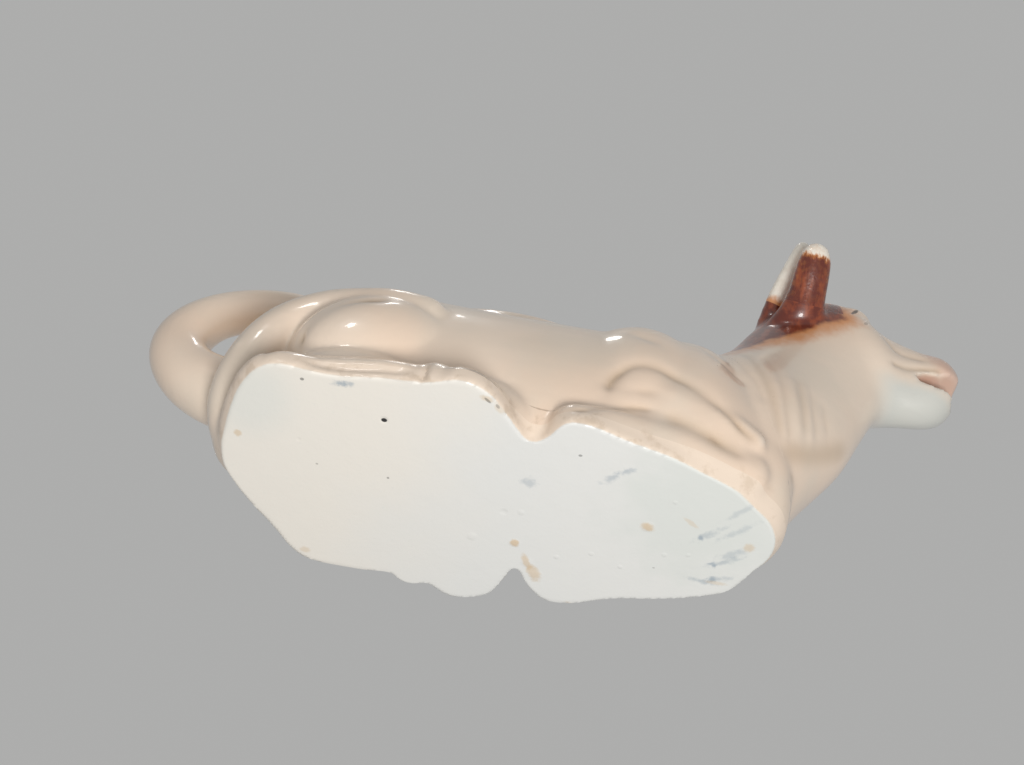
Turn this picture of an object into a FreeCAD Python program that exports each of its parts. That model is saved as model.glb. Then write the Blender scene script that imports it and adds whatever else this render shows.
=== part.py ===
import FreeCAD, Part
import os
import sys

# Cow-shaped cream jug in glazed porcelain, millimetres.
# +X points to the cow's nose, +Z is up, -Y is its right flank, and the origin lies in the middle
# of the flat base. The cow lies on its folded legs and looks straight ahead.

Vector = FreeCAD.Vector
doc = FreeCAD.newDocument("cow_cream_jug")
sizes = doc.addObject("Spreadsheet::Sheet", "sizes")
next_row = [1]


def size(alias, value):
    """Write one driving dimension to the sheet and give its cell a name."""
    sizes.set("A%d" % next_row[0], alias)
    sizes.set("B%d" % next_row[0], str(value))
    sizes.setAlias("B%d" % next_row[0], alias)
    next_row[0] += 1


def value(alias):
    """Read one dimension back from the sheet."""
    return float(sizes.get(alias))


def bind(item, **formulas):
    """Tie an object's properties to formulas on the sheet. A double underscore stands for a dot."""
    for name, formula in formulas.items():
        item.setExpression(name.replace("__", "."), formula)


# ---- driving dimensions ------------------------------------------------------------------------

size("slab_thick", 3.5)
size("wall_thick", 4.0)

size("filler_center_x", -2.0)
size("filler_half_length", 17.0)
size("filler_half_width", 11.0)
size("filler_bottom_z", 34.0)
size("filler_depth", 30.0)
size("rim_wide", 3.0)
size("rim_top_z", 47.8)

# The seam between torso and neck: a plane through this point, leaning back at this angle.
size("seam_x", 51.0)
size("seam_z", 28.0)
size("seam_lean", 25.0)
size("cutter_side", 300.0)

# A rib is an ellipse across the animal: its highest and lowest point on the middle plane, and
# half its width. Lofts through the ribs make the torso, and the neck with the head.
RIB = ("top_x", "top_z", "bottom_x", "bottom_z", "half_width")
TORSO_RIBS = (
    (-60.2, 22.0, -60.2, 9.0, 6.0),
    (-57.5, 31.0, -57.5, 3.0, 11.0),
    (-52.0, 40.0, -52.0, -2.0, 13.5),
    (-44.0, 47.0, -44.0, -7.0, 17.5),
    (-36.0, 50.0, -36.0, -9.0, 21.5),
    (-24.0, 50.0, -24.0, -9.0, 23.5),
    (-10.0, 49.0, -10.0, -9.0, 24.0),
    (5.0, 49.0, 5.0, -9.0, 23.8),
    (20.0, 49.0, 20.0, -9.0, 23.8),
    (32.0, 50.0, 32.0, -9.0, 24.0),
    (42.0, 49.0, 42.0, -8.0, 23.3),
    (52.0, 42.0, 52.0, -4.0, 17.5),
    (58.0, 33.0, 58.0, 0.0, 13.8),
    (61.0, 24.0, 61.0, 4.0, 9.0),
)
NECK_RIBS = (
    (35.0, 46.0, 60.0, 7.0, 19.0),
    (42.0, 50.0, 66.5, 17.0, 18.0),
    (46.0, 60.0, 74.5, 28.0, 15.5),
    (52.5, 71.0, 79.5, 38.5, 13.5),
    (61.0, 80.0, 84.0, 47.5, 12.3),
    (73.0, 82.5, 88.0, 49.8, 11.6),
    (83.5, 75.8, 92.5, 49.8, 8.6),
    (93.5, 70.8, 97.5, 50.6, 7.8),
    (100.0, 69.6, 101.3, 53.0, 7.2),
    (104.5, 66.5, 104.3, 56.6, 4.8),
)

# The mouth is cut as a wide low slot: where each station stands, its middle height, half its width
# and half its height.
SLOT = ("x", "z", "half_width", "half_height")
MOUTH_SLOTS = (
    (77.0, 58.6, 4.7, 4.4),
    (86.0, 58.0, 4.3, 3.1),
    (94.0, 57.8, 8.6, 2.7),
    (108.0, 58.8, 11.0, 3.6),
)

# Soft forms on each flank: centre, and half sizes along X, Y and Z.
BULGE = ("x", "y", "z", "half_x", "half_y", "half_z")
BULGES = {
    "thigh": (-25.0, 17.0, 21.0, 17.5, 11.5, 17.0),
    "shoulder": (29.0, 13.0, 24.0, 15.0, 12.2, 20.5),
    "haunch": (-30.0, 15.0, 7.0, 17.0, 11.0, 9.0),
    "belly": (-6.0, 15.0, 6.0, 13.0, 10.0, 8.0),
}

# Rolls of flesh along each flank: the rump's runs from the hip down behind to the base, and the
# others are the folded legs. A knot is a point of the path, out from the middle plane by y.
KNOT = ("x", "y", "z", "radius")
ROLLS = {
    "rump": (
        (-16.0, 15.0, 27.0, 3.5),
        (-24.0, 20.3, 29.6, 4.5),
        (-34.0, 19.8, 29.8, 4.6),
        (-44.0, 17.4, 27.5, 4.7),
        (-51.0, 15.5, 20.5, 4.9),
        (-55.0, 10.8, 12.8, 4.8),
        (-56.0, 3.0, 8.5, 4.3),
    ),
    "shank": (
        (-43.0, 20.5, 5.0, 2.4),
        (-33.0, 23.8, 4.5, 2.9),
        (-25.0, 25.0, 4.5, 3.0),
        (-15.0, 24.3, 4.5, 2.8),
    ),
    "forearm": (
        (20.0, 15.0, 19.0, 4.2),
        (28.0, 19.0, 17.5, 5.0),
        (36.0, 19.2, 15.2, 4.6),
        (44.0, 18.8, 13.4, 3.6),
        (53.0, 14.5, 12.0, 2.3),
    ),
    "ledge": (
        (12.0, 18.5, 4.0, 4.6),
        (20.0, 19.0, 5.0, 5.2),
        (38.0, 15.2, 7.0, 6.0),
        (51.0, 10.5, 7.5, 5.2),
    ),
}

# The tail: stations on the middle plane from its root to its tip, each with the tube's radius.
STATION = ("x", "z", "radius")
TAIL_STATIONS = (
    (-37.0, 46.0, 4.4),
    (-45.0, 48.6, 4.5),
    (-53.0, 50.0, 4.5),
    (-61.0, 48.6, 4.6),
    (-68.5, 44.2, 4.9),
    (-73.0, 37.0, 5.6),
    (-72.8, 30.0, 6.4),
    (-68.5, 24.0, 7.2),
    (-62.0, 20.3, 7.8),
    (-54.0, 18.5, 7.8),
)

# An ear and a horn of the right side: distance along the axis, then the section's half sizes.
size("ear_root_x", 63.6)
size("ear_root_y", -9.0)
size("ear_root_z", 67.0)
size("ear_tip_x", 66.2)
size("ear_tip_y", -24.6)
size("ear_tip_z", 78.2)
size("horn_root_x", 58.8)
size("horn_root_y", -6.0)
size("horn_root_z", 74.0)
size("horn_tip_x", 64.8)
size("horn_tip_y", -19.5)
size("horn_tip_z", 86.5)
SECTION = ("along", "half_width", "half_thick")
EAR_SECTIONS = ((-3.0, 6.4, 4.0), (4.0, 5.6, 3.6), (10.0, 4.8, 3.0), (15.5, 3.8, 2.4), (19.0, 1.8, 1.2))
HORN_SECTIONS = ((-3.0, 2.1, 2.1), (6.0, 1.9, 1.9), (13.0, 1.7, 1.7), (17.8, 1.4, 1.4), (19.4, 0.7, 0.7))

# Outline of the base, anticlockwise from the right corner of the chest: two lobes and a waist.
# Each lobe bulges where a knee or a hoof is tucked under.
BASE_OUTLINE = (
    (57.0, 3.5), (53.0, 13.8), (46.0, 18.0), (38.0, 20.6), (29.5, 22.6), (21.0, 26.3), (14.5, 26.6),
    (10.0, 21.5), (7.4, 17.6), (5.4, 22.5), (2.4, 28.2), (-5.0, 30.6), (-11.0, 27.4), (-17.5, 26.0),
    (-27.0, 27.0), (-38.0, 25.8), (-45.0, 17.5), (-52.0, 8.5), (-56.6, -1.0), (-56.4, -10.0),
    (-53.0, -21.0), (-47.0, -27.0), (-35.0, -26.6), (-24.0, -28.2), (-16.0, -28.6), (-9.5, -30.8),
    (-3.5, -28.5), (1.5, -22.6), (6.0, -17.7), (10.0, -21.0), (14.0, -25.2), (26.5, -22.2),
    (36.0, -20.0), (45.0, -16.4), (52.5, -13.6), (56.3, -6.5),
)

# The base's rim rises a little above the slab: height, then its size against the base outline.
LAYER = ("z", "scale_x", "scale_y")
PAD_LAYERS = ((3.5, 1.0, 1.0), (5.0, 0.985, 0.97), (6.5, 0.95, 0.9))

TABLES = {
    "torso": (RIB, TORSO_RIBS),
    "neck": (RIB, NECK_RIBS),
    "mouth": (SLOT, MOUTH_SLOTS),
    "tail": (STATION, TAIL_STATIONS),
    "ear": (SECTION, EAR_SECTIONS),
    "horn": (SECTION, HORN_SECTIONS),
    "pad": (LAYER, PAD_LAYERS),
}
for table, (fields, rows) in TABLES.items():
    for number, row in enumerate(rows):
        for field, entry in zip(fields, row):
            size("%s%d_%s" % (table, number, field), entry)
for bulge, entries in BULGES.items():
    for field, entry in zip(BULGE, entries):
        size("%s_%s" % (bulge, field), entry)
for name, knots in ROLLS.items():
    for number, knot in enumerate(knots):
        for field, entry in zip(KNOT, knot):
            size("%s%d_%s" % (name, number, field), entry)
doc.recompute()


# ---- helpers -----------------------------------------------------------------------------------

def rib(table, number, inset="0"):
    """One elliptical rib of a table, standing across the middle plane, smaller by the inset."""
    ring = doc.addObject("Part::Ellipse", "%s_rib" % table)
    ring.Placement = FreeCAD.Placement(Vector(), FreeCAD.Rotation(Vector(0, -1, 0), 90))
    cell = {field: "sizes.%s%d_%s" % (table, number, field) for field in RIB}
    rise = "({top_z} - {bottom_z})".format(**cell)
    run = "({top_x} - {bottom_x})".format(**cell)
    bind(
        ring,
        MajorRadius="sqrt(%s ^ 2 + %s ^ 2) / 2 - %s" % (rise, run, inset),
        MinorRadius="%s - %s" % (cell["half_width"], inset),
        Placement__Base__x="({top_x} + {bottom_x}) / 2".format(**cell),
        Placement__Base__z="({top_z} + {bottom_z}) / 2".format(**cell),
        Placement__Rotation__Angle="atan2(%s; %s)" % (rise, run),
    )
    return ring


def slot(table, number):
    """One low ellipse of a table, upright across the middle plane and wider than tall."""
    ring = doc.addObject("Part::Ellipse", "%s_slot" % table)
    upright = FreeCAD.Rotation(Vector(0, 1, 0), Vector(0, 0, 1), Vector(1, 0, 0), "ZXY")
    ring.Placement = FreeCAD.Placement(Vector(), upright)
    cell = {field: "sizes.%s%d_%s" % (table, number, field) for field in SLOT}
    bind(
        ring,
        MajorRadius=cell["half_width"],
        MinorRadius=cell["half_height"],
        Placement__Base__x=cell["x"],
        Placement__Base__z=cell["z"],
    )
    return ring


def loft(name, profiles):
    """A smooth solid through closed profiles."""
    solid = doc.addObject("Part::Loft", name)
    solid.Sections = profiles
    solid.Solid = True
    solid.MaxDegree = 3
    return solid


def rib_loft(name, table, first, last, inset="0"):
    """A loft through the ribs of a table, from the first to the last of them."""
    return loft(name, [rib(table, number, inset) for number in range(first, last + 1)])


def bulge(name, side):
    """An ellipsoid on one flank: side is -1 on the right and 1 on the left."""
    lump = doc.addObject("Part::Ellipsoid", name)
    cell = {field: "sizes.%s_%s" % (name, field) for field in BULGE}
    bind(
        lump,
        Radius1=cell["half_z"],
        Radius2=cell["half_x"],
        Radius3=cell["half_y"],
        Placement__Base__x=cell["x"],
        Placement__Base__y="%d * %s" % (side, cell["y"]),
        Placement__Base__z=cell["z"],
    )
    return lump


def roll(name, side):
    """A rounded roll along one flank: side is -1 on the right and 1 on the left."""
    points = [
        Vector(*[value("%s%d_%s" % (name, number, axis)) for axis in "xyz"])
        for number in range(len(ROLLS[name]))
    ]
    rings = []
    for number, point in enumerate(points):
        heading = points[max(number - 1, 0)] - points[min(number + 1, len(points) - 1)]
        ring = doc.addObject("Part::Circle", "%s_ring" % name)
        ring.Placement = FreeCAD.Placement(point, FreeCAD.Rotation(Vector(0, 0, 1), heading))
        bind(ring, Radius="sizes.%s%d_radius" % (name, number))
        rings.append(ring)
    right = loft("%s_roll" % name, rings)
    return right if side > 0 else mirror("%s_twin" % name, right)


def base_profile(z, scale_x, scale_y):
    """The base outline as a closed curve at one height, scaled about the origin."""
    curve = Part.BSplineCurve()
    curve.interpolate(
        [Vector(x * scale_x, y * scale_y, z) for x, y in BASE_OUTLINE], PeriodicFlag=True
    )
    outline = doc.addObject("Part::Feature", "base_profile")
    outline.Shape = Part.Wire(curve.toShape())
    return outline


def oval_post(name, margin, bottom, height):
    """An upright oval post round the filler's axis, wider than the hole by the margin."""
    ring = doc.addObject("Part::Ellipse", "%s_ring" % name)
    bind(
        ring,
        MajorRadius="sizes.filler_half_length + %s" % margin,
        MinorRadius="sizes.filler_half_width + %s" % margin,
        Placement__Base__x="sizes.filler_center_x",
        Placement__Base__z=bottom,
    )
    post = doc.addObject("Part::Extrusion", name)
    post.Base = ring
    post.DirMode = "Custom"
    post.Dir = Vector(0, 0, 1)
    post.Solid = True
    bind(post, LengthFwd=height)
    return post


def boolean(kind, name, **operands):
    """A boolean of whole solids. Its faces stay as cut, because merging them breaks curved seams."""
    result = doc.addObject(kind, name)
    for operand, shapes in operands.items():
        setattr(result, operand, shapes)
    result.Refine = False
    return result


def fuse(name, shapes):
    return boolean("Part::MultiFuse", name, Shapes=shapes)


def cut(name, base, tool):
    return boolean("Part::Cut", name, Base=base, Tool=tool)


def common(name, shapes):
    return boolean("Part::MultiCommon", name, Shapes=shapes)


def mirror(name, source):
    """The same piece on the other flank."""
    twin = doc.addObject("Part::Mirroring", name)
    twin.Source = source
    twin.Normal = Vector(0, 1, 0)
    return twin


def half_space(name, turn, lift):
    """A large box that ends at a plane: it is turned about Y at a point on the middle plane."""
    block = doc.addObject("Part::Box", name)
    bind(block, Length="sizes.cutter_side", Width="sizes.cutter_side", Height="sizes.cutter_side")
    reach = value("cutter_side")
    spin = FreeCAD.Rotation(Vector(0, 1, 0), turn)
    block.Placement = FreeCAD.Placement(
        lift + spin.multVec(Vector(0, -reach / 2, -reach / 2)), spin
    )
    return block


def limb(name, table, rows):
    """A tapering solid along a straight axis: an ear or a horn of the right side."""
    root, tip = (
        Vector(*[value("%s_%s_%s" % (table, end, axis)) for axis in "xyz"])
        for end in ("root", "tip")
    )
    axis = (tip - root).normalize()
    broad = (Vector(1, 0, 0) - axis * axis.x).normalize()
    spin = FreeCAD.Rotation(broad, axis.cross(broad), axis, "ZXY")
    rings = []
    for number in range(rows):
        ring = doc.addObject("Part::Ellipse", "%s_ring" % table)
        along = value("%s%d_along" % (table, number))
        ring.Placement = FreeCAD.Placement(root + axis * along, spin)
        bind(
            ring,
            MajorRadius="sizes.%s%d_half_width" % (table, number),
            MinorRadius="sizes.%s%d_half_thick" % (table, number),
        )
        rings.append(ring)
    return loft(name, rings)


# ---- the whole animal, solid -------------------------------------------------------------------

torso = rib_loft("torso", "torso", 0, len(TORSO_RIBS) - 1)
neck = rib_loft("neck", "neck", 0, len(NECK_RIBS) - 1)
pad_layers = [
    base_profile(*[value("pad%d_%s" % (number, field)) for field in LAYER])
    for number in range(len(PAD_LAYERS))
]
leg_pad = loft("leg_pad", pad_layers)
bulges = [bulge(name, side) for name in BULGES for side in (-1, 1)]
rolls = [roll(name, side) for name in ROLLS for side in (-1, 1)]
rim = oval_post("rim", "sizes.rim_wide", "sizes.filler_bottom_z", "sizes.rim_top_z - sizes.filler_bottom_z")
animal = fuse("animal", [torso, neck, leg_pad, rim] + bulges + rolls)

above_slab = half_space("above_slab", -90, Vector(0, 0, value("slab_thick")))
standing = common("standing", [animal, above_slab])

# ---- the hollow: torso, neck and mouth are one passage -------------------------------------------

wall = "sizes.wall_thick"
torso_hollow = rib_loft("torso_hollow", "torso", 2, len(TORSO_RIBS) - 3, wall)
neck_hollow = rib_loft("neck_hollow", "neck", 0, 5, wall)
mouth = loft("mouth", [slot("mouth", number) for number in range(len(MOUTH_SLOTS))])
filler = oval_post("filler", "0", "sizes.filler_bottom_z", "sizes.filler_depth")
hollow = fuse("hollow", [torso_hollow, neck_hollow, mouth, filler])

# ---- pieces --------------------------------------------------------------------------------------

seam = Vector(value("seam_x"), 0, value("seam_z"))
ahead_of_seam = half_space("ahead_of_seam", -value("seam_lean"), seam)
body_shell = cut("body_shell", cut("body_solid", standing, ahead_of_seam), hollow)
head_shell = cut("head_shell", common("head_solid", [standing, ahead_of_seam]), hollow)

slab_profile = base_profile(0, 1, 1)
base_slab = doc.addObject("Part::Extrusion", "base_slab")
base_slab.Base = slab_profile
base_slab.DirMode = "Custom"
base_slab.Dir = Vector(0, 0, 1)
base_slab.Solid = True
bind(base_slab, LengthFwd="sizes.slab_thick")

tail_rings = []
for number, (x, z, radius) in enumerate(TAIL_STATIONS):
    ring = doc.addObject("Part::Circle", "tail_ring")
    ahead = TAIL_STATIONS[min(number + 1, len(TAIL_STATIONS) - 1)]
    behind = TAIL_STATIONS[max(number - 1, 0)]
    heading = Vector(ahead[0] - behind[0], 0, ahead[1] - behind[1])
    sideways = Vector(0, 1, 0)
    ring.Placement = FreeCAD.Placement(
        Vector(), FreeCAD.Rotation(sideways.cross(heading), sideways, heading, "ZYX")
    )
    bind(
        ring,
        Radius="sizes.tail%d_radius" % number,
        Placement__Base__x="sizes.tail%d_x" % number,
        Placement__Base__z="sizes.tail%d_z" % number,
    )
    tail_rings.append(ring)
tail_handle = cut("tail_handle", loft("tail", tail_rings), standing)

ear_right = cut("ear_right", limb("ear", "ear", len(EAR_SECTIONS)), standing)
horn_root = cut("horn_root", limb("horn", "horn", len(HORN_SECTIONS)), standing)
horn_right = cut("horn_right", horn_root, ear_right)

pieces = {
    "body_shell": body_shell,
    "base_slab": base_slab,
    "head_shell": head_shell,
    "tail_handle": tail_handle,
    "ear_right": ear_right,
    "ear_left": mirror("ear_left", ear_right),
    "horn_right": horn_right,
    "horn_left": mirror("horn_left", horn_right),
}
for node, piece in pieces.items():
    piece.Label = node
doc.recompute()

# ---- check and write -----------------------------------------------------------------------------

for item in doc.Objects:
    if "Invalid" in item.State or "Error" in item.State:
        sys.exit("%s failed: %s" % (item.Name, item.State))
for node, piece in pieces.items():
    shape = piece.Shape
    if shape.isNull() or not shape.isValid() or len(shape.Solids) != 1:
        sys.exit("%s is not one valid solid: %d" % (node, len(shape.Solids)))

os.makedirs("parts", exist_ok=True)
for node, piece in pieces.items():
    piece.Shape.exportStep("parts/%s.step" % node)
    box = piece.Shape.BoundBox
    print("%-12s %8.0f mm3   x %6.1f %6.1f   y %6.1f %6.1f   z %6.1f %6.1f" % (
        node, piece.Shape.Volume, box.XMin, box.XMax, box.YMin, box.YMax, box.ZMin, box.ZMax))
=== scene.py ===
import math

import bmesh
import bpy
import numpy as np
from mathutils import Matrix, Vector


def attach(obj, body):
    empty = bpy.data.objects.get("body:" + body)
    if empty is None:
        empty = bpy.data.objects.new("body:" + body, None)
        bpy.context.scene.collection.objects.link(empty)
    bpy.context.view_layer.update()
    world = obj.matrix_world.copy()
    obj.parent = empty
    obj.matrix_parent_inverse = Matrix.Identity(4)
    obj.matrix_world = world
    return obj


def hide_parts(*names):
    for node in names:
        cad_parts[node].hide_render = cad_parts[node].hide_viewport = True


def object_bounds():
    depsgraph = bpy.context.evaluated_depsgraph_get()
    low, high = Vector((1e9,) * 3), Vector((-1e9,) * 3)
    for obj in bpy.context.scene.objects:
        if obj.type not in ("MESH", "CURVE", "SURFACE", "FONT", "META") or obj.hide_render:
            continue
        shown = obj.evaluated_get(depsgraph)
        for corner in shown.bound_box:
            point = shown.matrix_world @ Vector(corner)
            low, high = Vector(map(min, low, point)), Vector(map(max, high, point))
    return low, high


# A cow-shaped cream jug in glazed porcelain. Sizes are in millimetres until a mesh is finished.
# +X is the nose, +Z is up and -Y is the cow's right flank. Rows that give a half distance from
# the middle plane stand for both flanks.
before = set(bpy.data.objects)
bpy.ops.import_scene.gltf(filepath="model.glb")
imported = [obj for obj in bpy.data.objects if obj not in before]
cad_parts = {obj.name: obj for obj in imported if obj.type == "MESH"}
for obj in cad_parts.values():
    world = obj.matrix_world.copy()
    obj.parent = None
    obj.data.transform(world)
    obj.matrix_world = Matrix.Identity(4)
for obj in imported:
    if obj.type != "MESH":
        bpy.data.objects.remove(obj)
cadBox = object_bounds()
mm = 0.001
print("frame loaded")


def smoothRows(rows, steps, closed=False):
    # rows of numbers, eased from one to the next (Catmull-Rom)
    rows = np.array(rows, float)
    if closed:
        padded = np.vstack([rows[-1], rows, rows[0], rows[1]])
    else:
        padded = np.vstack([2 * rows[0] - rows[1], rows, 2 * rows[-1] - rows[-2]])
    result = []
    for span in range(len(padded) - 3):
        a, b, c, d = padded[span:span + 4]
        squared = 2 * a - 5 * b + 4 * c - d
        cubed = 3 * b - a - 3 * c + d
        for s in np.arange(steps) / steps:
            result.append(0.5 * (2 * b + (c - a) * s + squared * s ** 2 + cubed * s ** 3))
    if not closed:
        result.append(rows[-1])
    return np.array(result)


def loft(shape, places, segments=48, closed=False):
    # unit circles set by matrices, bridged into a skin, and capped unless it closes on itself
    loops = []
    for place in places:
        made = bmesh.ops.create_circle(shape, cap_ends=False, segments=segments, radius=1, matrix=place)
        loops.append(list(dict.fromkeys(edge for vert in made["verts"] for edge in vert.link_edges)))
    for first, second in zip(loops, loops[1:] + loops[:1] if closed else loops[1:]):
        bmesh.ops.bridge_loops(shape, edges=first + second)
    if not closed:
        for end in (loops[0], loops[-1]):
            bmesh.ops.contextual_create(shape, geom=end)


def ribLoft(shape, ribs, steps=4, inset=0):
    # a rib is top x, top z, bottom x, bottom z and half width, on the middle plane
    places = []
    for topX, topZ, bottomX, bottomZ, halfWidth in smoothRows(ribs, steps):
        top, bottom = Vector((topX, 0, topZ)), Vector((bottomX, 0, bottomZ))
        up = (top - bottom).normalized()
        side = Vector((0, 1, 0))
        turn = Matrix((up, side, up.cross(side))).transposed().to_4x4()
        size = Matrix.Diagonal(((top - bottom).length / 2 - inset, halfWidth - inset, 1, 1))
        places.append(Matrix.Translation((top + bottom) / 2) @ turn @ size)
    loft(shape, places)


def tube(shape, stations, steps=6, segments=32, flat=1.0, broad=(0, 1, 0), closed=False):
    # a station is x, y, z and radius; flat squeezes the tube across its broad direction
    rows = smoothRows(stations, steps, closed)
    points = [Vector(row[:3]) for row in rows]
    count = len(points)
    places = []
    for number, (point, row) in enumerate(zip(points, rows)):
        if closed:
            ahead = points[(number + 1) % count] - points[number - 1]
        else:
            ahead = points[min(number + 1, count - 1)] - points[max(number - 1, 0)]
        ahead.normalize()
        side = (Vector(broad) - ahead * ahead.dot(Vector(broad))).normalized()
        turn = Matrix((side, ahead.cross(side), ahead)).transposed().to_4x4()
        places.append(Matrix.Translation(point) @ turn @ Matrix.Diagonal((row[3], row[3] * flat, 1, 1)))
    loft(shape, places, segments, closed)
    if not closed:
        for end in (0, -1):
            cap = places[end] @ Matrix.Diagonal((1, 1, rows[end][3] * 0.9 * flat, 1))
            bmesh.ops.create_uvsphere(shape, u_segments=24, v_segments=16, radius=0.99, matrix=cap)


def lump(shape, center, halfSizes, turn=(0, 0, 0)):
    spin = Matrix.Rotation(math.radians(turn[2]), 4, "Z") @ Matrix.Rotation(math.radians(turn[1]), 4, "Y")
    spin = spin @ Matrix.Rotation(math.radians(turn[0]), 4, "X")
    bmesh.ops.create_uvsphere(
        shape, u_segments=32, v_segments=20, radius=1,
        matrix=Matrix.Translation(center) @ spin @ Matrix.Diagonal((*halfSizes, 1)),
    )


def layerStack(shape, outline, layers):
    # copies of a closed outline, one above another, with the edge of the right flank drawn in
    loops = []
    for z, scaleX, scaleY, drawn in layers:
        verts = []
        for x, y in outline:
            rightward = min(max((8 - y) / 16, 0), 1)
            inward = float(np.interp(x, *cowForm["drawnIn"])) * drawn * rightward
            verts.append(shape.verts.new(((x - inward) * scaleX, y * scaleY, z)))
        loops.append([shape.edges.new((verts[i - 1], verts[i])) for i in range(len(verts))])
    for first, second in zip(loops, loops[1:]):
        bmesh.ops.bridge_loops(shape, edges=first + second)
    for end in (loops[0], loops[-1]):
        bmesh.ops.contextual_create(shape, geom=end)


def block(shape, low, high, place=Matrix()):
    low, high = Vector(low), Vector(high)
    middle = Matrix.Translation((low + high) / 2)
    bmesh.ops.create_cube(shape, size=1, matrix=place @ middle @ Matrix.Diagonal((*(high - low), 1)))


def toObject(shape, name):
    bmesh.ops.recalc_face_normals(shape, faces=shape.faces)
    mesh = bpy.data.meshes.new(name)
    shape.to_mesh(mesh)
    shape.free()
    piece = bpy.data.objects.new(name, mesh)
    bpy.context.collection.objects.link(piece)
    return piece


def settle(piece):
    # the modifiers become the mesh
    view = bpy.context.evaluated_depsgraph_get()
    mesh = bpy.data.meshes.new_from_object(piece.evaluated_get(view))
    old = piece.data
    piece.modifiers.clear()
    piece.data = mesh
    bpy.data.meshes.remove(old)
    return piece


def remesh(piece, voxel, rounds, factor=0.5):
    # overlapping parts fuse to one skin, which is then smoothed
    merge = piece.modifiers.new("merge", "REMESH")
    merge.mode = "VOXEL"
    merge.voxel_size = voxel
    relax = piece.modifiers.new("relax", "SMOOTH")
    relax.iterations = rounds
    relax.factor = factor
    return settle(piece)


def combine(piece, tool, operation="DIFFERENCE", keepTool=False):
    cutter = piece.modifiers.new("cut", "BOOLEAN")
    cutter.operation = operation
    cutter.solver = "MANIFOLD"
    cutter.object = tool
    settle(piece)
    if not keepTool:
        bpy.data.objects.remove(tool)
    return piece


def splitOff(piece, name, tool):
    # what lies inside the tool becomes a piece of its own
    part = piece.copy()
    part.data = piece.data.copy()
    part.name = name
    bpy.context.collection.objects.link(part)
    combine(part, tool, "INTERSECT", keepTool=True)
    combine(piece, tool)
    return part


def vertexArray(mesh, field="co"):
    flat = np.empty(len(mesh.vertices) * 3, np.float32)
    if field == "co":
        mesh.vertices.foreach_get("co", flat)
    else:
        mesh.vertex_normals.foreach_get("vector", flat)
    return flat.reshape(-1, 3).astype(float)


def writeValues(mesh, name, values):
    layer = mesh.attributes.get(name) or mesh.attributes.new(name, "FLOAT", "POINT")
    layer.data.foreach_set("value", values.astype(np.float32))


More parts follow.
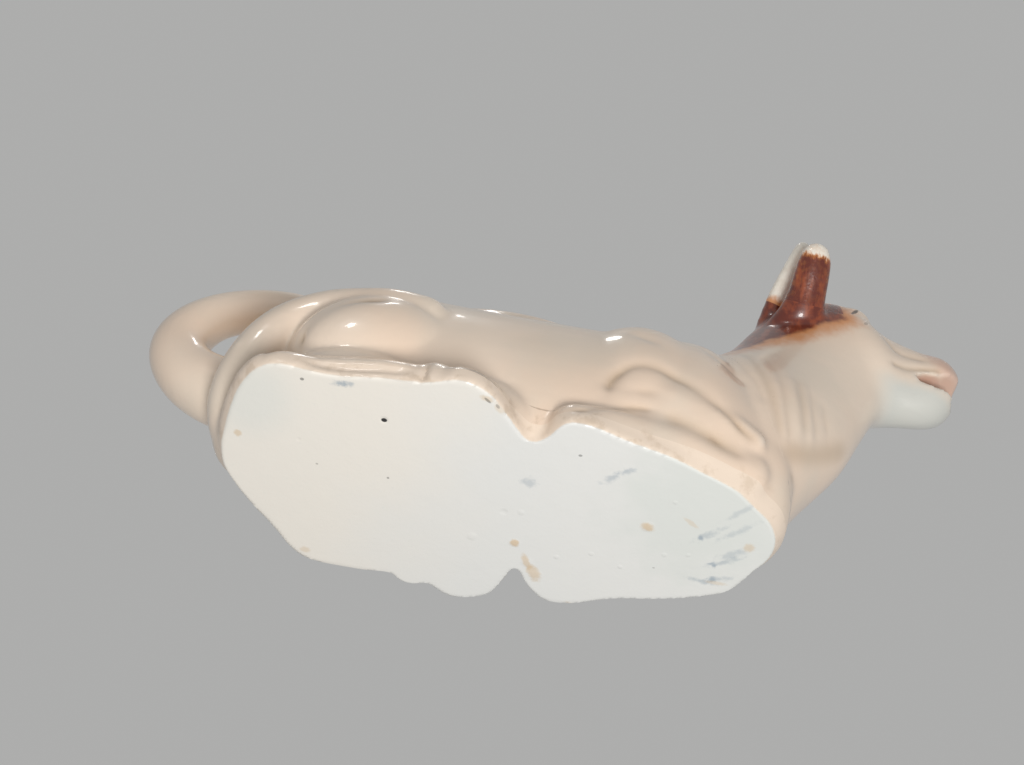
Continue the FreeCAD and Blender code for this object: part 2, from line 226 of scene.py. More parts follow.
cowForm = {
    # grain of the clay, and rounds of smoothing before and after it is hollowed
    "voxel": 0.63,
    "firstRelax": 12,
    "lastRelax": 5,
    "hollowVoxel": 0.8,
    "hollowRelax": 10,
    "wall": 4.0,
    "slabThick": 3.5,
    "slabRecess": 0.3,
    # ribs: top x and z, bottom x and z, and half width
    "torso": (
        (-60.2, 22.0, -60.2, 9.0, 6.0),
        (-57.5, 31.0, -57.5, 3.0, 11.0),
        (-52.0, 40.0, -52.0, -2.0, 13.5),
        (-44.0, 47.0, -44.0, -7.0, 17.5),
        (-36.0, 50.0, -36.0, -9.0, 21.5),
        (-24.0, 50.0, -24.0, -9.0, 23.5),
        (-10.0, 49.0, -10.0, -9.0, 24.0),
        (5.0, 49.0, 5.0, -9.0, 23.8),
        (20.0, 49.0, 20.0, -9.0, 23.8),
        (32.0, 50.0, 32.0, -9.0, 24.0),
        (42.0, 49.0, 42.0, -8.0, 23.3),
        (52.0, 42.0, 52.0, -4.0, 17.5),
        (58.0, 33.0, 58.0, 0.0, 13.3),
        (61.0, 24.0, 61.0, 4.0, 8.3),
    ),
    "neck": (
        (35.0, 46.0, 60.0, 7.0, 19.0),
        (42.0, 50.0, 66.5, 17.0, 18.0),
        (48.4, 57.3, 74.5, 28.0, 14.2),
        (54.8, 68.4, 79.5, 38.5, 12.3),
        (61.8, 78.8, 84.0, 47.5, 11.7),
        (73.0, 82.5, 88.0, 49.8, 11.6),
        (83.5, 75.8, 92.5, 49.8, 8.6),
        (93.5, 70.8, 97.5, 50.6, 7.8),
        (100.0, 69.6, 101.3, 53.0, 7.2),
        (104.0, 66.2, 103.7, 56.8, 4.5),
    ),
    # smoothing shrinks the clay, so it is swollen back by this much
    "swell": 0.35,
    # height, scale along x and along y, and how much the right flank's edge is drawn in
    "padLayers": (
        (0.0, 1.0, 1.0, 1.0), (1.6, 1.0, 1.0, 0.3), (3.5, 1.0, 1.0, 0), (5.0, 0.985, 0.97, 0),
        (6.5, 0.95, 0.9, 0),
    ),
    # places along x, and how far the edge moves back there
    "drawnIn": ((-57, -40, 20, 45, 57), (-2.6, -0.8, 0.3, 3.8, 6.8)),
    # below this height the foot is pressed flat
    "footFlat": 0.7,
    # soft forms on both flanks: center, half sizes, turn about x, y and z
    "lumps": (
        ((-29.3, 16.4, 20.6), (17, 11.5, 12.4), (0, -20, 0)),  # thigh
        ((27, 13, 23.5), (16, 12, 20.5), (0, 0, 0)),           # shoulder
        ((-30, 15, 7), (17, 11, 9), (0, 0, 0)),                # haunch under the thigh
        ((-6, 15, 6), (13, 10, 8), (0, 0, 0)),                 # belly over the rear lobe
        ((-14.5, 26, 3.5), (4.5, 3.5, 4.5), (0, 0, 0)),        # hoof
        ((78.5, 7.6, 73.0), (4.2, 3.0, 3.4), (0, 28, 0)),      # eyelids
        ((98.9, 3.9, 64.3), (3.2, 2.7, 3.4), (0, 25, 0)),      # nostril wing
    ),
    # rolls of clay on both flanks: x, half distance, z and radius
    "rolls": (
        # over the rump
        ((-19.8, 20.6, 29.9, 4.6), (-27, 20.8, 30, 4.8), (-33, 20, 30, 4.6), (-40, 18.5, 29.3, 4.6),
         (-47, 16.5, 26, 4.8), (-51, 15.5, 20.5, 4.9), (-53.5, 13.5, 15.5, 4.9), (-55.4, 10, 12, 4.8),
         (-56.2, 6, 9.5, 4.6), (-56, 1, 8, 4.2)),
        # shank
        ((-41, 22.5, 4.5, 2.6), (-33, 23.8, 4.5, 2.9), (-25, 25, 4.5, 3), (-18, 25.3, 4.5, 2.8)),
        # folded foreleg
        ((22, 17, 19, 4.5), (28, 19, 17.5, 5), (36, 19.2, 15.2, 4.6), (44, 18.8, 13.4, 3.6),
         (51, 16.4, 12.5, 2.5)),
        # ledge under the foreleg
        ((13.5, 20, 3.5, 5), (20, 19, 5, 5.2), (27, 17.2, 6, 5.6), (38, 15.2, 7, 6), (50, 11.5, 7.5, 5.5)),
    ),
    # how the left flank's roll over the rump is moved
    "leftRump": (1.5, -1.5, 3.0),
}
# edge of the flat foot: x and y, anticlockwise from the nose end
baseOutline = (
    (57.0, 3.5), (53.0, 13.8), (46.0, 18.0), (38.0, 20.6), (29.5, 22.6), (21.0, 26.3), (14.5, 26.6),
    (10.0, 21.5), (7.4, 17.6), (5.4, 22.5), (2.4, 28.2), (-5.0, 30.6), (-11.0, 27.4), (-17.5, 26.0),
    (-27.0, 27.0), (-38.0, 25.8), (-45.0, 17.5), (-52.0, 8.5), (-56.6, -1.0), (-56.4, -10.0),
    (-53.0, -21.0), (-47.0, -27.0), (-35.0, -26.6), (-24.0, -28.2), (-16.0, -28.6), (-9.5, -30.8),
    (-3.5, -28.5), (1.5, -22.6), (6.0, -17.7), (10.0, -21.0), (14.0, -25.2), (26.5, -22.2),
    (36.0, -20.0), (45.0, -16.4), (52.5, -13.6), (56.3, -6.5),
)
tailForm = {
    # x, y, z and radius, from the root on the back to the lower end on the rump
    "stations": (
        (-37.0, 0, 46.0, 4.8), (-45.0, 0, 48.5, 4.6), (-53.0, 0, 49.9, 4.55), (-61.0, 0, 48.4, 4.7),
        (-68.3, 0, 44.0, 5.0), (-72.7, 0, 37.0, 5.7), (-73.2, 0, 29.8, 6.1), (-69.0, 0, 23.4, 6.6),
        (-62.4, 0, 19.6, 7.3), (-54.0, 0, 18.0, 7.7),
    ),
    # outline, seen from the side, of the space that holds the tail and none of the rump
    "block": ((-90, 4), (-60.4, 4), (-60.4, 43.5), (-46.5, 43.5), (-46.5, 90), (-90, 90)),
}
fillerForm = {
    # the opening is an oval hole straight down through the back
    "center": (-2.0, 0, 49),
    "halfSizes": (17.0, 11.0, 16),
    "rimRadius": 2.2,
    "rimOut": 1.4,
    "rimUp": -0.7,
    # the back under the rim, as an arch: height of its middle, rise and half width
    "backArch": (20, 29.2, 24),
}
headForm = {
    # where the head is luted on: a point of the seam and its lean in degrees
    "seam": ((51, 0, 28), -25),
    # the bar that holds a limb: stations of its axis, where it starts and ends, and half widths
    "bars": {"horn": (1, 3, -3.0, 20, (2.8, 2.8)), "ear": (1, 4, 3.0, 30, (10, 7))},
    # x, half distance, z and radius, from root to tip
    "ear": (
        (62.9, 5.0, 66.5, 5.8), (64.8, 10.5, 67.8, 5.2), (65.5, 15.0, 71.0, 4.35), (65.8, 19.3, 74.2, 4.0),
        (66.0, 22.3, 76.5, 3.4), (66.2, 23.4, 77.3, 2.7),
    ),
    "earFlat": 0.62,
    "horn": (
        (58.6, 3.0, 71.0, 2.4), (60.5, 9.2, 77.2, 2.2), (62.6, 14.0, 81.6, 2.05), (64.4, 18.0, 85.1, 1.9),
    ),
    # what is cut from the corners of the mouth: center and half sizes
    "jawSides": ((100, 10.2, 56.3), (8.0, 5.0, 2.9)),
    # x, z, half width and half height of the mouth slot
    "mouth": (
        (76, 58.5, 5.0, 4.6), (86, 57.6, 4.5, 3.0), (91, 57.0, 6.5, 1.5), (94, 57.2, 9.5, 1.9),
        (98, 57.5, 10.5, 2.3), (103, 57.7, 11.0, 3.3), (110, 58.2, 11.5, 4.6),
    ),
}


def onSide(stations, side):
    return [(x, y * side, z, radius) for x, y, z, radius in stations]


def fillerRim(count=24):
    # an oval that lies on the arch of the back
    halfLength, halfWidth, _ = fillerForm["halfSizes"]
    middle, rise, halfArch = fillerForm["backArch"]
    rim = []
    for step in range(count):
        angle = math.tau * step / count
        x = fillerForm["center"][0] + (halfLength + fillerForm["rimOut"]) * math.cos(angle)
        y = (halfWidth + fillerForm["rimOut"]) * math.sin(angle)
        back = middle + rise * math.sqrt(1 - (y / halfArch) ** 2)
        rim.append((x, y, back + fillerForm["rimUp"], fillerForm["rimRadius"]))
    return rim


def makeAnimal():
    shape = bmesh.new()
    ribLoft(shape, cowForm["torso"])
    ribLoft(shape, cowForm["neck"])
    layerStack(shape, smoothRows(baseOutline, 5, closed=True), cowForm["padLayers"])
    tube(shape, tailForm["stations"], segments=40)
    tube(shape, fillerRim(), steps=3, segments=20, broad=(0, 0, 1), closed=True)
    for side in (-1, 1):
        for number, roll in enumerate(cowForm["rolls"]):
            dx, dy, dz = cowForm["leftRump"] if side == 1 and number == 0 else (0, 0, 0)
            moved = [(x + dx, y + dy, z + dz, radius) for x, y, z, radius in roll]
            tube(shape, onSide(moved, side), segments=24)
        for (x, y, z), halfSizes, (tip, lean, heading) in cowForm["lumps"]:
            lump(shape, (x, y * side, z), halfSizes, (tip * side, lean, heading * side))
        tube(shape, onSide(headForm["ear"], side), flat=headForm["earFlat"], broad=(1, 0, 0))
        tube(shape, onSide(headForm["horn"], side))
    return remesh(toObject(shape, "cow"), cowForm["voxel"], cowForm["firstRelax"])


def makeHollow():
    shape = bmesh.new()
    wall = cowForm["wall"]
    ribLoft(shape, cowForm["torso"][2:-2], inset=wall)
    ribLoft(shape, cowForm["neck"][:6], inset=wall)
    mouth = []
    for x, z, halfWidth, halfHeight in smoothRows(headForm["mouth"], 4):
        turn = Matrix(((0, 0, 1), (1, 0, 0), (0, 1, 0))).to_4x4()
        mouth.append(Matrix.Translation((x, 0, z)) @ turn @ Matrix.Diagonal((halfWidth, halfHeight, 1, 1)))
    loft(shape, mouth)
    (x, y, z), halfSizes = headForm["jawSides"]
    for side in (-1, 1):
        lump(shape, (x, y * side, z), halfSizes)
    place = Matrix.Translation(fillerForm["center"]) @ Matrix.Diagonal((*fillerForm["halfSizes"], 1))
    loft(shape, [place @ Matrix.Translation((0, 0, z)) for z in (-1, 1)])
    hollow = remesh(toObject(shape, "hollow"), cowForm["hollowVoxel"], cowForm["hollowRelax"])
    floor = bmesh.new()
    block(floor, (-90, -90, cowForm["slabThick"] - cowForm["slabRecess"]), (140, 90, 140))
    return combine(hollow, toObject(floor, "floorCut"), "INTERSECT")


cow = makeAnimal()
print("outside formed", len(cow.data.vertices))
combine(cow, makeHollow())
remesh(cow, cowForm["voxel"], cowForm["lastRelax"])
print("hollowed", len(cow.data.vertices))


# Each stroke runs along points of x, half distance from the middle plane and z, on both flanks.
# depth is how far the clay rises (or sinks) at its middle, width how broad the tool is, and the third
# number how much tan goes in it: tan glaze that gathers there, and painted shade in the fold. A fold has a
# sharp bottom, a swell is round.
relief = {
    "folds": (
        # depth, width, tan glaze and painted shade, points
        # under the rump roll, the thigh and the shank
        (-1.0, 1.4, 0.8, ((-27, 27.5, 26.5), (-32, 26.5, 24.8), (-37, 24.5, 21.8), (-41.2, 22.3, 18),
                          (-43.5, 21.5, 15), (-45, 22.5, 10.5), (-46.5, 25, 6), (-48, 26.3, 2.5))),
        (-0.6, 1.3, 0.5, ((-37, 26.5, 7.5), (-31.9, 27.3, 7.6), (-25.6, 28, 8.4), (-20, 27.5, 10))),
        (-0.6, 0.9, 0.6, ((-40, 26.8, 2.6), (-34, 27, 2.2), (-28, 27.5, 2.2), (-20, 28.3, 2.4))),
        # cleft of the hoof
        (-0.9, 0.6, 0.8, ((-16.6, 28.6, 6.5), (-16.4, 29.3, 4), (-16.8, 28.6, 0))),
        # round the elbow, and its own fold
        (-1.1, 1.4, 0.8, ((19.5, 23, 12.5), (20, 23.6, 16), (22, 23.7, 19.5), (25.6, 23.9, 21.5),
                          (30, 23.9, 21.3), (34.8, 23.4, 19.6), (39.5, 22.5, 16.6), (44, 21.6, 14),
                          (48.4, 20.6, 11.6), (52.5, 18.5, 10.4))),
        (-0.6, 1.4, 0.5, ((24, 23.3, 14.5), (27.6, 23.1, 14.8), (31, 23.1, 15.4))),
        # between foreleg and ledge, and above the knee
        (-1.3, 1.8, 0.85, ((30, 22, 10.6), (36.9, 20.9, 9), (40.3, 20.5, 8), (45, 20.2, 7),
                           (50.6, 18.4, 7))),
        (-0.7, 1.0, 0.7, ((11.5, 23.5, 3.2), (15.5, 25, 4.8), (18, 24.5, 7), (21, 23.6, 9),
                          (25, 22.6, 10.4), (29.5, 22.5, 10.8))),
        # dents on the shoulder
        (-0.7, 2.0, 0.25, ((22.5, 22.5, 34), (26.4, 23.5, 32), (30.6, 24, 29.2))),
        (-0.4, 2.0, 0.3, ((38, 19, 37), (42.3, 20.5, 33), (45.4, 20, 30.6), (48.3, 19.2, 29),
                          (50.4, 19, 26.8))),
        # folds of the neck, from the shoulder forward
        (-0.35, 1.3, 0.3, ((45, 9, 51), (48.7, 17.6, 36), (51.4, 18.5, 30.3), (53.3, 18, 23.5))),
        (-0.38, 2.2, 0.5, ((49.1, 13.6, 47.6), (51.8, 17.4, 38.7), (53.7, 18, 31.2), (55.7, 17.3, 23.8),
                           (57.3, 14.3, 16.3))),
        (-0.26, 2.0, 0.35, ((53.5, 16, 46), (56.3, 17, 38), (57.6, 17.4, 30), (58.4, 16.1, 23),
                            (59.5, 13.1, 16.4))),
        (-0.24, 2.3, 0.45, ((62.3, 15, 41), (61.9, 15.8, 33.1), (62.6, 12, 20))),
        (-0.18, 1.8, 0.3, ((64.8, 14.7, 37.2), (65.1, 13.9, 30.1), (65.9, 10, 22.5))),
        (-0.22, 1.8, 0.3, ((67.9, 13.3, 36), (68.2, 11.8, 30.4), (69.2, 8.6, 25.5))),
        # corner of the mouth, and the cheek above it
        (-0.7, 0.9, 0.7, ((85.4, 9.4, 57.4), (87.8, 8.9, 57.6), (90.3, 8.2, 57.9), (95.1, 7.7, 59.1),
                          (99.6, 7.1, 60.0))),
        (-0.6, 1.1, 0.55, ((84.5, 9.6, 67.5), (86.3, 9.2, 65.3), (88.2, 9.0, 62.6), (92.6, 8.2, 62.2),
                           (96, 7.8, 62.6))),
    ),
    "swells": (
        # shank bone
        (0.35, 1.2, 0, ((-38, 27, 4.4), (-34, 26.8, 4.2), (-25, 28, 4.3), (-18.5, 28.5, 4.4))),
        # ridges between the folds of the neck
        (0.3, 1.3, 0, ((55.8, 17, 34), (56.6, 16.5, 25), (58.2, 14.5, 18))),
        (0.25, 1.3, 0, ((59.8, 16, 38), (60, 16, 31), (61, 13, 21))),
        (0.2, 1.0, 0, ((63.5, 15, 38), (63.6, 14.5, 30), (64.2, 11, 21.5))),
        # no clay, only tan painted low on the neck: painted shade under its folds and between chest and
        # dewlap
        (0.0, 3.2, 0.65, ((55, 15, 13), (59.5, 12.7, 16), (65.7, 9.1, 20.7), (73, 5.1, 27.9), (77, 3, 31))),
        (0.0, 1.4, 0.7, ((58.7, 11.4, 12.6), (60.8, 7.1, 11.1))),
        # dab of slip by the tail
        (0.5, 1.0, 0.3, ((-56.5, 17.5, 14.6), (-55.8, 17.9, 15.8))),
    ),
}


def strokeWeight(places, points, width, sharp):
    # 1 along the path, falling off sideways and over its ends
    path = smoothRows(points, 4)
    near = np.full(len(places), 1e9)
    along = np.zeros(len(places))
    lengths = np.linalg.norm(path[1:] - path[:-1], axis=1)
    walked = np.concatenate([[0], np.cumsum(lengths)])
    for start, end, length, before in zip(path[:-1], path[1:], lengths, walked):
        line = (end - start) / length
        reach = np.clip((places - start) @ line, 0, length)
        gap = np.linalg.norm(places - start - reach[:, None] * line, axis=1)
        closer = gap < near
        near[closer] = gap[closer]
        along[closer] = (before + reach)[closer]
    fadeLength = 2.2 * width
    ends = np.clip(np.minimum(along, walked[-1] - along) / fadeLength, 0, 1)
    ends = 0.25 + 0.75 * ends * ends * (3 - 2 * ends)
    side = near / width
    fold = np.exp(-np.sqrt(side * side + 0.08) * 1.25 + 0.35)
    swell = np.exp(-side * side)
    return np.where(sharp, fold, swell) * ends


def workRelief(piece):
    mesh = piece.data
    places = vertexArray(mesh)
    normals = vertexArray(mesh, "normal")
    lift = np.zeros(len(places))
    pool = np.zeros(len(places))
    for kind, strokes in relief.items():
        for depth, width, pooledAndShade, points in strokes:
            for side in (-1, 1):
                route = np.array(points, float) * (1, side, 1)
                reach = 5 * width + 1
                inside = np.all((places > route.min(0) - reach) & (places < route.max(0) + reach), axis=1)
                inside &= normals[:, 1] * side > 0.05
                chosen = np.nonzero(inside)[0]
                facing = np.clip(normals[chosen, 1] * side * 3, 0, 1)
                weight = strokeWeight(places[chosen], route, width, kind == "folds") * facing
                lift[chosen] += depth * weight
                pool[chosen] = np.maximum(pool[chosen], pooledAndShade * weight)
    places += normals * (lift + cowForm["swell"])[:, None]
    flat = np.clip(places[:, 2] / cowForm["footFlat"], 0, 1)
    places[:, 2] *= flat * flat * (3 - 2 * flat)
    # a hair inside the solids' box, so that rounding stays inside it
    hair = 0.001
    low, high = np.array(cadBox) / mm
    places = np.clip(places, low + hair, high - hair)
    mesh.vertices.foreach_set("co", places.ravel())
    mesh.update()
    # the stored tan holds tan glaze and the painted shade of the folds
    writeValues(mesh, "pool", pool)


def measureHollows(piece, rounds=9):
    # how far each point lies below its wider surroundings, in millimetres
    mesh = piece.data
    places = vertexArray(mesh)
    normals = vertexArray(mesh, "normal")
    pairs = np.empty(len(mesh.edges) * 2, np.int32)
    mesh.edges.foreach_get("vertices", pairs)
    first, second = pairs.reshape(-1, 2).T
    count = np.bincount(pairs, minlength=len(places)).astype(float)
    spread = places.copy()
    for _ in range(rounds):
        total = np.zeros_like(spread)
        for axis in range(3):
            total[:, axis] = np.bincount(first, spread[second, axis], len(places))
            total[:, axis] += np.bincount(second, spread[first, axis], len(places))
        spread = 0.3 * spread + 0.7 * total / count[:, None]
    writeValues(mesh, "hollow", ((spread - places) * normals).sum(1))


workRelief(cow)
measureHollows(cow)
print("relief worked")


def halfSpace(name, place):
    shape = bmesh.new()
    block(shape, (0, -150, -150), (300, 150, 150), place)
    return toObject(shape, name)


def alongTool(name, stations, bar):
    # a square bar along a limb, from a distance beyond its root
    root, tip = [Vector(stations[number][:3]) for number in bar[:2]]
    start, reach, halfWidth = bar[2:]
    place = Matrix.Translation(root) @ (tip - root).to_track_quat("X", "Z").to_matrix().to_4x4()
    shape = bmesh.new()
    block(shape, (start, -halfWidth[0], -halfWidth[1]), (reach, halfWidth[0], halfWidth[1]), place)
    return toObject(shape, name)


def tailTool(halfWidth=30):
    shape = bmesh.new()
    face = shape.faces.new([shape.verts.new((x, -halfWidth, z)) for x, z in tailForm["block"]])
    turned = bmesh.ops.extrude_face_region(shape, geom=[face])["geom"]
    moved = [item for item in turned if isinstance(item, bmesh.types.BMVert)]
    bmesh.ops.translate(shape, vec=(0, 2 * halfWidth, 0), verts=moved)
    return toObject(shape, "tailTool")


def finish(piece, node):
    mesh = piece.data
    mesh.transform(Matrix.Scale(mm, 4))
    mesh.polygons.foreach_set("use_smooth", [True] * len(mesh.polygons))
    mesh.set_sharp_from_angle(angle=math.radians(50))
    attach(piece, "root")
    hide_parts(node)
    print(piece.name, "triangles", sum(len(polygon.vertices) - 2 for polygon in mesh.polygons))


seamPoint, seamLean = headForm["seam"]
seamPlace = Matrix.Translation(seamPoint) @ Matrix.Rotation(math.radians(seamLean), 4, "Y")
head = splitOff(cow, "porcelain_head", halfSpace("aheadOfSeam", seamPlace))
body = cow
body.name = "porcelain_body"
slabPlace = Matrix.Translation((0, 0, cowForm["slabThick"])) @ Matrix.Rotation(math.radians(90), 4, "Y")
slab = splitOff(body, "porcelain_base", halfSpace("belowSlab", slabPlace))
tail = splitOff(body, "porcelain_tail", tailTool())
print("body, base, head and tail parted")
# piece, slot and node
pieces = [
    (body, "cream_glaze", "body_shell"), (slab, "white_glaze", "base_slab"),
    (head, "cream_glaze", "head_shell"), (tail, "cream_glaze", "tail_handle"),
]
for side, flank in ((-1, "right"), (1, "left")):
    for limb, slot in (("horn", "horn_glaze"), ("ear", "brown_glaze")):
        bar = alongTool(limb + "Tool", onSide(headForm[limb], side), headForm["bars"][limb])
        node = limb + "_" + flank
        pieces.append((splitOff(head, "porcelain_" + node, bar), slot, node))
for piece, slot, node in pieces:
    finish(piece, node)


# maths on a wire adds Math nodes, and every other node comes from Graph.node
class Wire:
    def __init__(self, graph, socket):
        self.graph = graph
        self.socket = socket

    def maths(self, operation, first, second=0.0):
        return self.graph.node("ShaderNodeMath", {"operation": operation}, {0: first, 1: second})

    def __add__(self, other):
        return self.maths("ADD", self, other)

    def __radd__(self, other):
        return self.maths("ADD", other, self)

    def __sub__(self, other):
        return self.maths("SUBTRACT", self, other)

    def __rsub__(self, other):
        return self.maths("SUBTRACT", other, self)

    def __mul__(self, other):
        return self.maths("MULTIPLY", self, other)

    def __rmul__(self, other):
        return self.maths("MULTIPLY", other, self)

    def __abs__(self):
        return self.maths("ABSOLUTE", self)

    def least(self, other):
        return self.maths("MINIMUM", self, other)

    def most(self, other):
        return self.maths("MAXIMUM", self, other)


class Graph:
    def __init__(self, tree):
        self.tree = tree

    def node(self, kind, settings=None, sockets=None, output=0):
        made = self.tree.nodes.new(kind)
        for name, value in (settings or {}).items():
            setattr(made, name, value)
        for name, value in (sockets or {}).items():
            self.feed(made.inputs[name], value)
        return Wire(self, made.outputs[output])

    def feed(self, socket, value):
        if isinstance(value, Wire):
            self.tree.links.new(value.socket, socket)
        elif isinstance(value, (tuple, list)) and len(socket.default_value) == 4:
            socket.default_value = (*value, 1)
        else:
            socket.default_value = value

    def mix(self, factor, first, second):
        return self.node("ShaderNodeMix", {"data_type": "RGBA"}, {0: factor, 6: first, 7: second}, output=2)

    def fade(self, value, low, high):
        # 0 below low, 1 above high, eased between them; low may be the greater one
        sockets = {0: value, 1: low, 2: high}
        if low > high:
            sockets = {0: value, 1: high, 2: low, 3: 1.0, 4: 0.0}
        return self.node("ShaderNodeMapRange", {"interpolation_type": "SMOOTHSTEP"}, sockets)


class Glaze(Graph):
    def __init__(self, name):
        self.material = bpy.data.materials.new(name)
        self.material.use_nodes = True
        super().__init__(self.material.node_tree)
        self.shader = self.tree.nodes["Principled BSDF"]
        here = self.node("ShaderNodeTexCoord", output="Object")
        self.place = self.node("ShaderNodeVectorMath", {"operation": "SCALE"}, {0: here, "Scale": 1 / mm})
        self.x, self.y, self.z = [
            self.node("ShaderNodeSeparateXYZ", {}, {0: self.place}, output=axis) for axis in "XYZ"
        ]
        self.flank = self.node("ShaderNodeCombineXYZ", {}, {0: self.x, 1: abs(self.y), 2: self.z})

    def noise(self, size, detail=2.0, roughness=0.5, stretch=(1, 1, 1), shift=0.0):
        # size is how broad one patch is
        where = self.node(
            "ShaderNodeMapping", {"vector_type": "TEXTURE"},
            {0: self.place, 1: (shift, shift, shift), 3: [size * part for part in stretch]},
        )
        sockets = {"Vector": where, "Scale": 1.0, "Detail": detail, "Roughness": roughness}
        return self.node("ShaderNodeTexNoise", {}, sockets)

    def wander(self, reach, *pattern, **more):
        # noise that pushes an edge to and fro
        return (self.noise(*pattern, **more) - 0.5) * reach

    def distance(self, center, size, turn=(0, 0, 0), sides=True):
        # from a center, where 1 is the edge of an oval of that half size, on both sides or just there
        turned = [math.radians(part) for part in turn]
        where = self.node(
            "ShaderNodeMapping", {"vector_type": "TEXTURE"},
            {0: self.flank if sides else self.place, 1: center, 2: turned, 3: size},
        )
        return self.node("ShaderNodeVectorMath", {"operation": "LENGTH"}, {0: where}, output="Value")

    def beyond(self, normal, point):
        # millimetres in front of a plane
        normal = Vector(normal).normalized()
        settings = {"operation": "DOT_PRODUCT"}
        ahead = self.node("ShaderNodeVectorMath", settings, {0: self.flank, 1: normal}, output="Value")
        return ahead - normal.dot(Vector(point))

    def stored(self, name):
        return self.node("ShaderNodeAttribute", {"attribute_name": name}, output="Fac")

    def bump(self, height, strength, rise):
        sockets = {"Height": height, "Strength": strength, "Distance": rise * mm}
        return self.node("ShaderNodeBump", {}, sockets)

    def done(self, sockets):
        for name, value in sockets.items():
            self.feed(self.shader.inputs[name], value)
        return self.material


creamColors = {
    "cream": (0.82, 0.685, 0.56),
    "warm": (0.80, 0.635, 0.50),
    "grey": (0.71, 0.625, 0.52),
    "pale": (0.85, 0.785, 0.69),
    "tan": (0.47, 0.345, 0.225),
    "deepTan": (0.27, 0.17, 0.10),
    "brown": (0.120, 0.016, 0.005),
    "brownLight": (0.260, 0.050, 0.012),
    # purplish dark brown that paints the sheen of reflected surroundings
    "paintedSheen": (0.085, 0.026, 0.026),
    "amber": (0.62, 0.225, 0.045),
    "pink": (0.60, 0.335, 0.245),
    "jaw": (0.57, 0.595, 0.565),
    "lash": (0.045, 0.030, 0.022),
}
headMarks = {
    # the sprayed brown on the poll lies in front of these planes: a normal and a point of each
    "spray": (
        ((-0.55, 0, 0.82), (60, 0, 57.4)), ((0.96, 0, -0.26), (49.6, 0, 56.0)),
        ((-0.93, 0, -0.36), (73.4, 0, 72.0)),
    ),
    # x, half distance and z, half size along x, y and z, turn about y, and strength
    "eyes": (
        ((78.1, 10.5, 72.5), (0.5, 3.0, 2.1), 31, 0.9), ((80.3, 11.3, 67.8), (0.45, 3.0, 1.3), 31, 0.35),
    ),
}


def mottledBrown(glaze, streaks, low, sheenShare):
    brown = glaze.mix(glaze.fade(streaks, low, 0.68), creamColors["brown"], creamColors["brownLight"])
    # purplish patches of painted sheen on the brown
    sheenMask = glaze.fade(glaze.noise(4.5, 2, 0.5, shift=9), 0.58, 0.72) * sheenShare
    return glaze.mix(sheenMask, brown, creamColors["paintedSheen"])


def sprayBrown(glaze, color):
    # orange where the spray is thin, dark and mottled where it is thick, with patches of painted sheen in
    # the dark
    near, behind, before = [glaze.beyond(*plane) for plane in headMarks["spray"]]
    depth = near.least(behind).least(before) + glaze.wander(4.5, 5.0, 3) + glaze.wander(1.6, 1.4, 3)
    brown = mottledBrown(glaze, glaze.noise(2.2, 4, 0.6, (1, 1, 2.2)), 0.42, 0.25)
    color = glaze.mix(glaze.fade(depth, -6.0, -0.6) * 0.85, color, creamColors["amber"])
    return glaze.mix(glaze.fade(depth, -1.3, 1.2), color, brown)


def poolTanAndShade(glaze, color):
    # pale where the glaze runs thin over ridges; tan glaze with painted shade in hollows and folds, darker
    # tan as painted shade in the deepest
    hollow, pool = glaze.stored("hollow"), glaze.stored("pool")
    color = glaze.mix(glaze.fade(hollow, -0.05, -0.55) * 0.65, color, creamColors["pale"])
    gatheredAndShade = glaze.fade(hollow + glaze.wander(0.25, 3.5, 3), 0.04, 0.9) * 0.62
    gatheredAndShade = gatheredAndShade.most(glaze.fade(pool, 0.05, 0.95) * 0.66)
    color = glaze.mix(gatheredAndShade, color, creamColors["tan"])
    return glaze.mix(glaze.fade(pool, 0.62, 1.0) * 0.45, color, creamColors["deepTan"])


def stainAndShadeLip(glaze, color):
    # the lip above the base, stained tan in patches, with more tan by the notch between the lobes as
    # painted shade
    lip = glaze.fade(glaze.z, 6.4, 3.6) * glaze.fade(glaze.noise(4.0, 4, 0.6, shift=3), 0.50, 0.66)
    notchShade = glaze.fade(glaze.distance((4, 22, 2), (24, 12, 9)), 1.1, 0.6)
    color = glaze.mix(lip * (0.16 + notchShade * 0.45), color, creamColors["tan"])
    stain = glaze.distance((-7.0, 27.5, 4.6), (7, 5, 2.2)) + glaze.wander(1.6, 2.2, 4, 0.6)
    return glaze.mix(glaze.fade(stain, 1.2, 0.4) * 0.6, color, creamColors["deepTan"])


def tintMuzzle(glaze, color):
    muzzle = glaze.fade(glaze.x + glaze.z * 0.45 + glaze.wander(3, 3, 2), 122.5, 127.5)
    muzzle = muzzle * glaze.fade(glaze.z, 57.4, 60.0)
    mouth = glaze.fade(glaze.distance((99, 0, 57.4), (10.5, 7.4, 2.6)), 1.12, 0.92)
    color = glaze.mix((muzzle * 0.6).most(mouth * 0.7), color, creamColors["pink"])
    nose = glaze.fade(glaze.distance((101.5, 4.2, 65.2), (1.6, 1.5, 1.9), (0, 25, 0)), 1.2, 0.6)
    color = glaze.mix(nose * 0.8, color, creamColors["deepTan"])
    jaw = glaze.fade(glaze.z + glaze.wander(2, 6, 2), 56.0, 52.4) * glaze.fade(glaze.x, 80.0, 88.5)
    return glaze.mix(jaw * 0.85, color, creamColors["jaw"])


def scuffBelly(glaze, color):
    # thin scuffs by the neck and a crazed line on the belly
    scuffs = glaze.noise(9, 4, 0.65, (0.5, 1, 1.6), shift=17) - 0.5
    scuffs = glaze.fade(abs(scuffs), 0.006, 0.001)
    where = glaze.fade(glaze.distance((44, 20, 41), (9, 9, 8)), 1.1, 0.4)
    color = glaze.mix(scuffs * where * 0.5, color, creamColors["deepTan"])
    crazed = glaze.distance((7, 21.0, 6.5), (3.0, 4.0, 0.16), (0, 5, 0)) + glaze.wander(1.6, 1.2, 2)
    return glaze.mix(glaze.fade(crazed, 1.1, 0.5) * 0.5, color, creamColors["deepTan"])


